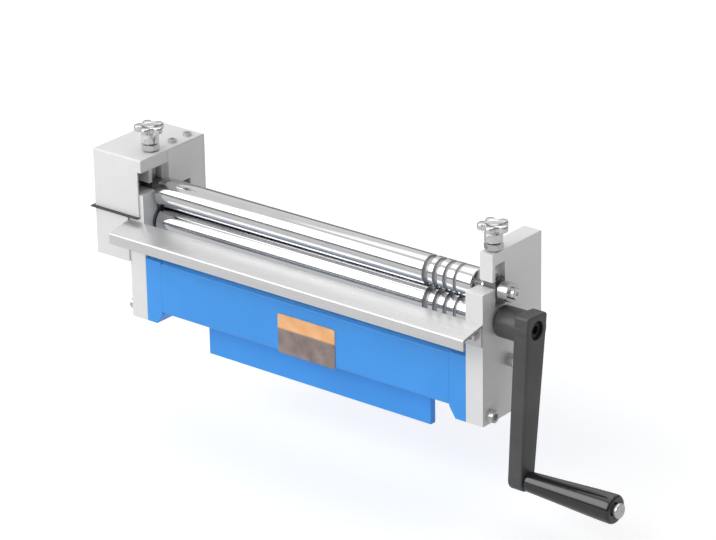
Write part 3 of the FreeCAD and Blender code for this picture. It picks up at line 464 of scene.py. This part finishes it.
class Grower:
    """A geometry tree with named inputs, made in order and used through its modifier."""

    def __init__(self, name, floats=(), vectors=()):
        self.tree = bpy.data.node_groups.new(name, "GeometryNodeTree")
        sockets = self.tree.interface
        sockets.new_socket("Geometry", in_out="INPUT", socket_type="NodeSocketGeometry")
        for label in floats:
            sockets.new_socket(label, in_out="INPUT", socket_type="NodeSocketFloat")
        for label in vectors:
            sockets.new_socket(label, in_out="INPUT", socket_type="NodeSocketVector")
        sockets.new_socket("Material", in_out="INPUT", socket_type="NodeSocketMaterial")
        sockets.new_socket("Geometry", in_out="OUTPUT", socket_type="NodeSocketGeometry")
        self.given = self.tree.nodes.new("NodeGroupInput").outputs

    def node(self, kind, inputs=(), **settings):
        """A node with its settings, and its inputs by place as (place, socket or number)."""
        made = self.tree.nodes.new(kind)
        for name, value in settings.items():
            setattr(made, name, value)
        for place, value in dict(inputs).items():
            if isinstance(value, bpy.types.NodeSocket):
                self.tree.links.new(value, made.inputs[place])
            else:
                made.inputs[place].default_value = value
        return made

    def calc(self, operation, first, second):
        """One step of arithmetic on two sockets or numbers."""
        made = self.node("ShaderNodeMath", {0: first, 1: second}, operation=operation)
        return made.outputs[0]

    def rod(self, sides, radius, length, middle):
        """A prism or cylinder along Z whose middle is at a height."""
        solid = self.node("GeometryNodeMeshCylinder", {"Vertices": sides, "Radius": radius, "Depth": length})
        lift = self.node("ShaderNodeCombineXYZ", {"Z": middle})
        return self.shifted(solid.outputs["Mesh"], lift.outputs[0])

    def shifted(self, geometry, offset):
        """The geometry moved by an offset."""
        made = self.node("GeometryNodeTransform", {"Geometry": geometry, "Translation": offset})
        return made.outputs[0]

    def join(self, *parts):
        """Several geometries as one."""
        made = self.tree.nodes.new("GeometryNodeJoinGeometry")
        for part in parts:
            self.tree.links.new(part, made.inputs[0])
        return made.outputs[0]

    def end(self, geometry):
        """Realizes the instances, sets the material and closes the tree."""
        real = self.node("GeometryNodeRealizeInstances", {0: geometry})
        material = self.given["Material"]
        coated = self.node("GeometryNodeSetMaterial", {"Geometry": real.outputs[0], "Material": material})
        out = self.tree.nodes.new("NodeGroupOutput")
        self.tree.links.new(coated.outputs[0], out.inputs[0])
        return self.tree


def cap_screw_tree():
    """Socket screws on points: a knurled head with a hexagon socket over a plain shank."""
    sizes = ("Head Radius", "Head Height", "Shank Radius", "Shank Length", "Socket Flats")
    grow = Grower("cap_screws", sizes, ("Facing",))
    head_radius, head_height, shank_radius, shank_length, flats = (grow.given[s] for s in sizes)
    inner = grow.calc("MULTIPLY", head_radius, 0.965)
    half = grow.calc("MULTIPLY", head_height, 0.5)
    head = grow.rod(48, inner, head_height, half)
    socket = grow.rod(6, grow.calc("DIVIDE", flats, math.sqrt(3)), head_height, head_height)
    cut = grow.node("GeometryNodeMeshBoolean", {"Mesh 1": head, "Mesh 2": socket}, operation="DIFFERENCE")
    ridge_radius = grow.calc("MULTIPLY", head_radius, 0.035)
    ridge = grow.rod(6, ridge_radius, grow.calc("MULTIPLY", head_height, 0.78), half)
    ring = grow.node("GeometryNodeMeshCircle", {"Vertices": 36, "Radius": inner})
    knurl = grow.node("GeometryNodeInstanceOnPoints", {"Points": ring.outputs[0], "Instance": ridge})
    shank = grow.rod(24, shank_radius, shank_length, grow.calc("MULTIPLY", shank_length, -0.5))
    screw = grow.join(cut.outputs[0], knurl.outputs[0], shank)
    turn = grow.node("FunctionNodeAlignRotationToVector", {"Vector": grow.given["Facing"]}, axis="Z")
    screws = grow.node("GeometryNodeInstanceOnPoints", {
        "Points": grow.given["Geometry"], "Instance": screw, "Rotation": turn.outputs[0],
    })
    return grow.end(screws.outputs[0])


def thread_tree():
    """Threaded rods on points: a helical ridge round a core, upwards from each point."""
    sizes = ("Radius", "Pitch", "Length")
    grow = Grower("threaded_rods", sizes)
    radius, pitch, length = (grow.given[s] for s in sizes)
    ridge = grow.calc("MULTIPLY", pitch, 0.36)
    line = grow.calc("SUBTRACT", radius, ridge)
    climb = grow.calc("SUBTRACT", length, pitch)
    helix = grow.node("GeometryNodeCurveSpiral", {
        "Resolution": 28, "Rotations": grow.calc("DIVIDE", climb, pitch),
        "Start Radius": line, "End Radius": line, "Height": climb,
    })
    section = grow.node("GeometryNodeCurvePrimitiveCircle", {"Resolution": 4, "Radius": ridge})
    wound = grow.node("GeometryNodeCurveToMesh", {
        "Curve": helix.outputs[0], "Profile Curve": section.outputs[0], "Fill Caps": True,
    })
    lift = grow.node("ShaderNodeCombineXYZ", {"Z": grow.calc("MULTIPLY", pitch, 0.5)})
    raised = grow.shifted(wound.outputs[0], lift.outputs[0])
    core = grow.rod(32, line, length, grow.calc("MULTIPLY", length, 0.5))
    rod = grow.join(raised, core)
    rods = grow.node("GeometryNodeInstanceOnPoints", {"Points": grow.given["Geometry"], "Instance": rod})
    return grow.end(rods.outputs[0])


def grown(tree, places, material, **values):
    """The plain mesh that a tree makes at some places."""
    points = bpy.data.meshes.new("places")
    points.from_pydata(places, [], [])
    host = placed("host", points)
    maker = host.modifiers.new("maker", "NODES")
    maker.node_group = tree
    for socket in tree.interface.items_tree:
        if socket.in_out == "INPUT" and socket.name == "Material":
            maker[socket.identifier] = material
        elif socket.in_out == "INPUT" and socket.name in values:
            maker[socket.identifier] = values[socket.name]
    graph = bpy.context.evaluated_depsgraph_get()
    mesh = bpy.data.meshes.new_from_object(host.evaluated_get(graph))
    host.modifiers.remove(maker)
    bpy.data.objects.remove(host)
    return mesh


# Rolls

PINCH_Y, LOWER_Z = axis_of("lower_roll")
ROLL_RADIUS = 12 * MM
SHOULDER = 157 * MM
END_EASE = 0.6 * MM
ROOT_EASE = 0.4 * MM
GROOVES = 4
SMALLEST_GROOVE = 1.5 * MM
GROOVE_GROWTH = 0.4 * MM
GROOVE_FROM_SHOULDER = 15 * MM
GROOVE_SPACING = 9.4 * MM
GROOVE_LIP = 0.15 * MM


def grooves():
    """Profile of the wire grooves, which grow away from the crank end."""
    profile = []
    for k in reversed(range(GROOVES)):
        radius = SMALLEST_GROOVE + GROOVE_GROWTH * k
        middle = SHOULDER - GROOVE_FROM_SHOULDER - GROOVE_SPACING * k
        profile.append((middle - radius - GROOVE_LIP, ROLL_RADIUS))
        profile += arc(middle, ROLL_RADIUS - GROOVE_LIP, radius, 180, 360, 14)
        profile.append((middle + radius + GROOVE_LIP, ROLL_RADIUS))
    return profile


def mark_grooves(mesh, journal, centre):
    """Stores where a roll is grooved, for the painted shade and the rougher surface in its finish."""
    marks = mesh.attributes.new(GROOVE_MARK, "FLOAT", "POINT")
    for vertex, mark in zip(mesh.vertices, marks.data):
        across = math.hypot(vertex.co.y - centre[0], vertex.co.z - centre[1])
        between_shoulders = abs(vertex.co.x) < SHOULDER - 2 * MM
        below_face = journal < across < ROLL_RADIUS - 0.2 * MM
        mark.value = 1.0 if between_shoulders and below_face else 0.0


def roll(node, journal):
    """A ground roll with wire grooves at the crank end, eased shoulders and centre drillings."""
    left, right = reach_of(node)
    centre = axis_of(node)
    drill = journal * 0.35
    soft = 1 * MM
    profile = [(left + drill, 0.0), (left, drill)]
    profile += [(left, journal - END_EASE), (left + END_EASE, journal)]
    profile += [(-SHOULDER - ROOT_EASE, journal), (-SHOULDER, journal + ROOT_EASE)]
    profile += arc(-SHOULDER + soft, ROLL_RADIUS - soft, soft, 180, 90, 6)
    profile += grooves()
    profile += arc(SHOULDER - soft, ROLL_RADIUS - soft, soft, 90, 0, 6)
    profile += [(SHOULDER, journal + ROOT_EASE), (SHOULDER + ROOT_EASE, journal)]
    profile += [(right - END_EASE, journal), (right, journal - END_EASE)]
    profile += [(right, drill), (right - drill, 0.0)]
    mesh = lathe(node, profile, centre)
    mark_grooves(mesh, journal, centre)
    return piece(node + "_ground", mesh, node)


roll("upper_roll", journal=4.5 * MM)
roll("lower_roll", journal=6 * MM)
roll("rear_roll", journal=5 * MM)


# Crank and grip

HUB_IN, HUB_OUT = reach_of("crank_arm")
ARM_IN, AXLE_END = reach_of("grip_axle")
HUB_RADIUS = 12.5 * MM
RECESS_RADIUS = 7.5 * MM
RECESS_DEEP = 7 * MM
SPINDLE_RADIUS = 6 * MM
ARM_TOP_HALF = 12.3 * MM
ARM_TOP_CORNER = 3 * MM
ARM_TIP_RADIUS = 8.75 * MM
CAST_EASE = 1.5 * MM
THROW = 120 * MM
LEAN = math.radians(5.3)
GRIP_CENTRE = (PINCH_Y - THROW * math.sin(LEAN), LOWER_Z - THROW * math.cos(LEAN))


def crank_hub():
    """Round hub with the recess for its screw."""
    near = HUB_RADIUS - CAST_EASE
    rim = 0.6 * MM
    floor_x = HUB_OUT - RECESS_DEEP
    profile = [(HUB_IN, SPINDLE_RADIUS), (HUB_IN, near)]
    profile += arc(HUB_IN + CAST_EASE, near, CAST_EASE, 180, 90, 6)[1:]
    profile += arc(HUB_OUT - CAST_EASE, near, CAST_EASE, 90, 0, 6)
    profile += [(HUB_OUT, RECESS_RADIUS + rim), (HUB_OUT - rim, RECESS_RADIUS)]
    profile += [(floor_x, RECESS_RADIUS), (floor_x, SPINDLE_RADIUS)]
    return lathe("crank_hub", profile, (PINCH_Y, LOWER_Z), 96)


def crank_web():
    """Tapered arm with a square top, eased all round, leaning from the hub and bored for the recess."""
    inner = ARM_TOP_HALF - ARM_TOP_CORNER
    corner = ARM_TOP_CORNER
    quarter = [math.radians(15 * k) for k in range(7)]
    half = [math.pi * k / 24 for k in range(25)]
    edge = [(-inner - corner * math.cos(a), inner + corner * math.sin(a)) for a in quarter]
    edge += [(inner + corner * math.sin(a), inner + corner * math.cos(a)) for a in quarter]
    edge += [(ARM_TIP_RADIUS * math.cos(a), -THROW - ARM_TIP_RADIUS * math.sin(a)) for a in half]
    outer_face = HUB_OUT - 0.02 * MM
    arm = stacked("crank_web", [[(x, y, z) for y, z in edge] for x in (ARM_IN, outer_face)])
    bm = bmesh.new()
    bm.from_mesh(arm)
    rim = [e for e in bm.edges if e.calc_face_angle(0) > math.radians(60)]
    bmesh.ops.bevel(
        bm, geom=rim, offset=CAST_EASE, segments=4, profile=0.5, affect="EDGES", clamp_overlap=True
    )
    bm.to_mesh(arm)
    bm.free()
    arm.transform(Matrix.Translation((0, PINCH_Y, LOWER_Z)) @ Matrix.Rotation(-LEAN, 4, "X"))
    inside, outside = ARM_IN - MM, HUB_OUT + MM
    hole = [(inside, 0.0), (inside, RECESS_RADIUS), (outside, RECESS_RADIUS), (outside, 0.0)]
    return bored(arm, lathe("crank_recess", hole, (PINCH_Y, LOWER_Z), 96))


def crank():
    """Cast crank: the round hub with the tapered arm over its outer end."""
    mesh = joined("crank_arm_cast", crank_hub(), crank_web())
    return piece("crank_arm_cast", mesh, "crank_arm", angle=40)


def grip():
    """Turned grip that swells towards its outer end, with round edges and a shallow recess there."""
    start, end = reach_of("grip")
    length = end - start
    bore = 4.04 * MM
    neck, lip = 6.6 * MM, 1.4 * MM
    nose = 2.5 * MM
    swell = [
        (0.06, 8.15), (0.15, 8.5), (0.3, 9.05), (0.45, 9.7),
        (0.6, 10.35), (0.75, 10.95), (0.88, 11.4), (0.94, 11.5),
    ]
    profile = [(start, bore), (start, neck)] + arc(start + lip, neck, lip, 180, 90, 5)[1:]
    profile += [(start + length * share, radius * MM) for share, radius in swell]
    profile += arc(end - nose, 9.0 * MM, nose, 90, 0, 8)
    profile += [(end, 6.8 * MM), (end - 0.8 * MM, 6.5 * MM), (end - 0.8 * MM, bore)]
    return piece("grip_moulded", lathe("grip_moulded", profile, GRIP_CENTRE, 96), "grip", angle=50)


def grip_axle():
    """Shoulder bolt with a domed head that has a small centre dimple."""
    start, end = ARM_IN, AXLE_END
    shoulder = end - 3 * MM
    pin, head = 4 * MM, 6 * MM
    dome = 1 * MM
    profile = [(start, 0.0), (start, pin - 0.4 * MM), (start + 0.4 * MM, pin), (shoulder, pin)]
    profile += [(shoulder, head - 0.3 * MM), (shoulder + 0.3 * MM, head)]
    profile += arc(end - dome, head - dome, dome, 90, 0, 6)
    profile += [(end, 2.2 * MM), (end - 0.6 * MM, 1.8 * MM), (end - 0.6 * MM, 0.0)]
    return piece("grip_axle_turned", lathe("grip_axle_turned", profile, GRIP_CENTRE, 64), "grip_axle")


crank()
grip()
grip_axle()


# Knobs, screws and nuts

SCREW_X = 170 * MM
BLOCK_TOP = round(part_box("left_upper_block")[1].z, 4)
KNOB_BODY = 8.75 * MM
LOBES = 5
LOBE_RADIUS = 3.75 * MM
LOBE_CENTRE = 8.8 * MM
# Heights over the knob's foot with, for the neck and the dish, the radius,
# and for the head how far its outline is drawn in, all in millimetres.
KNOB_NECK = [(0, 5.9), (0.3, 6.6), (1, 7.2), (3.6, 7.1), (5.7, 7.25), (7.4, 7.7), (8.9, 8.4)]
KNOB_HEAD = [
    (9.5, 1.2), (9.9, 0.45), (10.5, 0.1), (11.1, 0), (13.6, 0), (14.3, 0.25), (14.8, 0.7), (15.0, 1.4),
]
KNOB_DISH = [(14.85, 5.6), (14.5, 5.0), (14.5, 4.2), (14.9, 3.7)]


def lobed(angle):
    """Radius of the knob's outline at an angle: round lobes that flow into the body."""
    step = 2 * math.pi / LOBES
    off = (angle + step / 2) % step - step / 2
    inside = LOBE_RADIUS ** 2 - (LOBE_CENTRE * math.sin(off)) ** 2
    out = LOBE_CENTRE * math.cos(off) + math.sqrt(inside) if inside > 0 else 0
    soft = 1.6 * MM
    gap = max(soft - abs(out - KNOB_BODY), 0) / soft
    return max(out, KNOB_BODY) + gap * gap * soft / 4


def knob(side, name):
    """Plated star knob: a waisted neck under a head with five lobes and a dished top."""
    steps = 160
    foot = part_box(name)[0].z
    turns = [2 * math.pi * k / steps for k in range(steps)]

    def ring(height, radius_at):
        reaches = [(angle, radius_at(angle)) for angle in turns]
        return [
            (side * SCREW_X + reach * math.cos(a), PINCH_Y + reach * math.sin(a), foot + height * MM)
            for a, reach in reaches
        ]

    rings = [ring(height, lambda angle: radius * MM) for height, radius in KNOB_NECK]
    rings += [ring(height, lambda angle: lobed(angle) - inset * MM) for height, inset in KNOB_HEAD]
    rings += [ring(height, lambda angle: radius * MM) for height, radius in KNOB_DISH]
    return piece(name + "_plated", stacked(name, rings), name, angle=38)


def nut(name):
    """Hexagon nut whose corners are turned off at both faces."""
    low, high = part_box(name)
    centre = (low + high) / 2
    flat, bore, steps = 6.5 * MM, 4 * MM, 72
    rim, lead = flat * 0.97, 0.5 * MM
    sections = []
    for k in range(steps):
        angle = 2 * math.pi * k / steps
        off = angle % (math.pi / 3) - math.pi / 6
        reach = flat / math.cos(off)
        drop = (reach - rim) * math.tan(math.radians(30))
        turn = angle + math.pi / 6
        outside = [(rim, low.z), (reach, low.z + drop), (reach, high.z - drop), (rim, high.z)]
        inside = [(bore + lead, high.z), (bore, high.z - lead), (bore, low.z + lead)]
        sections.append([
            (centre.x + radius * math.cos(turn), centre.y + radius * math.sin(turn), height)
            for radius, height in [(bore + lead, low.z)] + outside + inside
        ])
    return piece(name + "_turned", wrapped(name, sections), name, angle=20)


SCREW_TREE = cap_screw_tree()
THREAD_TREE = thread_tree()


def pressure_screw(side, name):
    """Dog point under a cut thread."""
    x, y = side * SCREW_X, PINCH_Y
    foot = BLOCK_TOP + 4.4 * MM
    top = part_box(name)[1].z
    thread = grown(THREAD_TREE, [(x, y, foot)], FINISHES["screw_steel"], **{
        "Radius": 4 * MM, "Pitch": 1.25 * MM, "Length": top - foot,
    })
    dog, root = 3 * MM, 3.5 * MM
    profile = [(0, 0), (0, dog - 0.4 * MM), (0.4 * MM, dog), (4 * MM, dog), (5 * MM, root), (5 * MM, 0)]
    point = lathe("dog_point", profile, (0, 0), 48)
    point.transform(Matrix.Translation((x, y, BLOCK_TOP)) @ Matrix.Rotation(-math.pi / 2, 4, "Y"))
    return piece(name + "_cut", joined(name + "_cut", thread, point), name)


def cap_screws(name, places, facing, head, tall, shank, deep):
    """A group of socket screws of one size, at the same places as the CAD group.

    Places and the sizes of the head and the shank are in millimetres.
    """
    points = [tuple(c * MM for c in place) for place in places]
    mesh = grown(SCREW_TREE, points, FINISHES[SLOT_OF[name]], **{
        "Head Radius": head / 2 * MM, "Head Height": tall * MM, "Shank Radius": shank / 2 * MM,
        "Shank Length": deep * MM, "Socket Flats": head * 0.5 * MM, "Facing": facing,
    })
    return piece(name + "_cut", mesh, name, angle=28)


SIDES = {"left": -1, "right": 1}
BEAM_SCREW_TOP = {"left": 48.5, "right": 51.4}
PLATE_FACE = reach_of("right_end_plate")[1] / MM
BEAM_SCREW = {"head": 10, "tall": 6, "shank": 6, "deep": 24}
TABLE_SCREW = {"head": 10, "tall": 4, "shank": 5, "deep": 13}
COVER_SCREW = {"head": 7, "tall": 2.5, "shank": 4, "deep": 9.5}
CRANK_SCREW = {"head": 13, "tall": 5, "shank": 8, "deep": 18}

for name, side in SIDES.items():
    knob(side, name + "_pressure_knob")
    pressure_screw(side, name + "_pressure_screw")
    nut(name + "_lock_nut")
    face = side * PLATE_FACE
    places = [(face, -11, 14.4), (face, 14, BEAM_SCREW_TOP[name])]
    cap_screws(name + "_beam_screws", places, (side, 0, 0), **BEAM_SCREW)
cap_screws("table_screws", [(side * 168, -21, 82) for side in SIDES.values()], (0, -1, 0), **TABLE_SCREW)
cap_screws("upper_cover_screws", [(-168, y, 144.5) for y in (27, 45)], (0, 0, 1), **COVER_SCREW)
cap_screws("lower_cover_screws", [(-177.5, y, 59.8) for y in (0, 18)], (-1, 0, 0), **COVER_SCREW)
recess_floor = (HUB_OUT - RECESS_DEEP) / MM
cap_screws("crank_screw", [(recess_floor, PINCH_Y / MM, LOWER_Z / MM)], (1, 0, 0), **CRANK_SCREW)


# Plates, beam, table, covers and bearings

# How far each CAD piece's sharp edges are rounded, in millimetres.
EASES = {
    "left_end_plate": 0.5, "right_end_plate": 0.5, "left_lower_bush": 0.2, "right_lower_bush": 0.2,
    "base_beam": 0.3, "left_beam_foot": 0.8, "right_beam_foot": 0.8, "vise_tab": 0.8, "feed_table": 0.3,
    "upper_gear_cover": 0.2, "lower_gear_cover": 0.2, "left_upper_block": 0.2, "right_upper_block": 0.2,
    "left_rear_block": 0.2, "right_rear_block": 0.2, "upper_roll_gear": 0.15, "lower_roll_gear": 0.15,
    "upper_gear_clip": 0.1, "lower_gear_clip": 0.1, "upper_roll_collar": 0.4, "left_rear_adjuster": 0.3,
    "right_rear_adjuster": 0.3,
}
for node, ease in EASES.items():
    dressed(node, ease * MM)


def rating_plate():
    """Thin bare plate on the front of the beam, with round corners."""
    left, right, foot, top = -23 * MM, 34 * MM, 16.4 * MM, 49.4 * MM
    face, thick, corner = -19 * MM, 0.5 * MM, 1.5 * MM
    quarter = [15 * k for k in range(7)]
    centres = (
        (right - corner, top - corner, 0), (left + corner, top - corner, 90),
        (left + corner, foot + corner, 180), (right - corner, foot + corner, 270),
    )
    edge = []
    for x, z, start in centres:
        turns = [math.radians(start + step) for step in quarter]
        edge += [(x + corner * math.cos(a), z + corner * math.sin(a)) for a in turns]
    mesh = stacked("rating_plate", [[(x, y, z) for x, z in edge] for y in (face, face - thick)])
    shade(mesh)
    mesh.materials.append(two_tone_plate(foot, top))
    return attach(placed("rating_plate", mesh), "frame")


rating_plate()


# Studio

def floor():
    """Wide pale floor a little below the grip.

    It is lifted towards white for the camera, and is greyer in reflections.
    """
    half, height = 6.0, -0.075
    corners = [(-half, -half, height), (half, -half, height), (half, half, height), (-half, half, height)]
    mesh = mesh_of("floor", corners, [(0, 1, 2, 3)])
    finish = Finish("floor_paper", Roughness=0.9, Specular_IOR_Level=0.1, Emission_Color=(1, 1, 1, 1))
    ray = finish.node("LightPath").outputs
    distance = finish.node("VectorMath", Vector=finish.place)
    distance.operation = "LENGTH"
    lift = finish.span(distance.outputs["Value"], 0.25, 0.7, 0.8, 3.5)
    glow = finish.calc("MULTIPLY", lift, ray["Is Camera Ray"])
    finish.links.new(glow, finish.shader.inputs["Emission Strength"])
    paper = finish.blend(finish.span(finish.grain(3, 2), 0, 1), (0.88, 0.88, 0.88), (0.90, 0.90, 0.90))
    finish.colour(finish.blend(ray["Is Glossy Ray"], paper, (0.60, 0.60, 0.60)))
    mesh.materials.append(finish.material)
    placed("floor", mesh)


def surroundings():
    """White to the camera; to the object a room bright above, dim near the horizon and at the right."""
    world = bpy.data.worlds.new("studio")
    bpy.context.scene.world = world
    world.use_nodes = True
    nodes, links = world.node_tree.nodes, world.node_tree.links
    room = nodes["Background"]
    place = nodes.new("ShaderNodeTexCoord")
    split = nodes.new("ShaderNodeSeparateXYZ")
    links.new(place.outputs["Generated"], split.inputs[0])

    rise = nodes.new("ShaderNodeMapRange")
    rise.inputs["From Min"].default_value = -1
    links.new(split.outputs["Z"], rise.inputs["Value"])
    ramp = nodes.new("ShaderNodeValToRGB")
    links.new(rise.outputs["Result"], ramp.inputs["Fac"])
    stops = [(0.0, 0.55), (0.48, 0.60), (0.54, 0.18), (0.62, 0.26), (0.70, 0.95), (1.0, 0.80)]
    while len(ramp.color_ramp.elements) < len(stops):
        ramp.color_ramp.elements.new(0.5)
    for element, (height, level) in zip(ramp.color_ramp.elements, stops):
        element.position = height
        element.color = (level, level, level, 1)
    links.new(ramp.outputs["Color"], room.inputs["Color"])

    side = nodes.new("ShaderNodeMapRange")
    for name, number in (("From Min", 0.1), ("From Max", 0.8), ("To Min", 0.90), ("To Max", 0.30)):
        side.inputs[name].default_value = number
    links.new(split.outputs["X"], side.inputs["Value"])
    links.new(side.outputs["Result"], room.inputs["Strength"])

    backdrop = nodes.new("ShaderNodeBackground")
    backdrop.inputs["Color"].default_value = (1, 1, 1, 1)
    path = nodes.new("ShaderNodeLightPath")
    mix = nodes.new("ShaderNodeMixShader")
    links.new(path.outputs["Is Camera Ray"], mix.inputs["Fac"])
    links.new(room.outputs[0], mix.inputs[1])
    links.new(backdrop.outputs[0], mix.inputs[2])
    links.new(mix.outputs[0], nodes["World Output"].inputs["Surface"])


def lamp(name, place, size, power):
    """A rectangle of soft light that faces the middle of the machine."""
    middle = Vector((0, 0, 0.06))
    light = bpy.data.lights.new(name, "AREA")
    light.shape = "RECTANGLE"
    light.size, light.size_y = size
    light.energy = power
    made = placed(name, light)
    made.location = place
    made.rotation_mode = "QUATERNION"
    made.rotation_quaternion = (middle - Vector(place)).to_track_quat("-Z", "Y")


def photo_camera():
    """Camera fitted to the long edges of the photograph."""
    photo_width, focal_length = 716, 3636
    sensor = 36
    place = Vector((1.6580, -1.9925, 1.1781))
    right = Vector((0.78571, 0.61847, -0.01242))
    up = Vector((-0.23235, 0.31367, 0.92066))
    back = Vector((0.57330, -0.72049, 0.39016))
    data = bpy.data.cameras.new("photo_camera")
    data.sensor_width = sensor
    data.lens = sensor * focal_length / photo_width
    data.shift_x = -0.0429
    data.shift_y = 0.0065
    data.clip_start, data.clip_end = 0.1, 50
    made = placed("photo_camera", data)
    turn = Matrix((right, up, back)).transposed().to_4x4()
    made.matrix_world = Matrix.Translation(place) @ turn
    bpy.context.scene.camera = made


floor()
surroundings()
lamp("key", (-1.0, -2.0, 1.4), (2.6, 2.0), 37)
lamp("overhead", (0.1, 0.3, 1.9), (3.0, 2.0), 12)
photo_camera()
bpy.context.scene.view_settings.view_transform = "Standard"
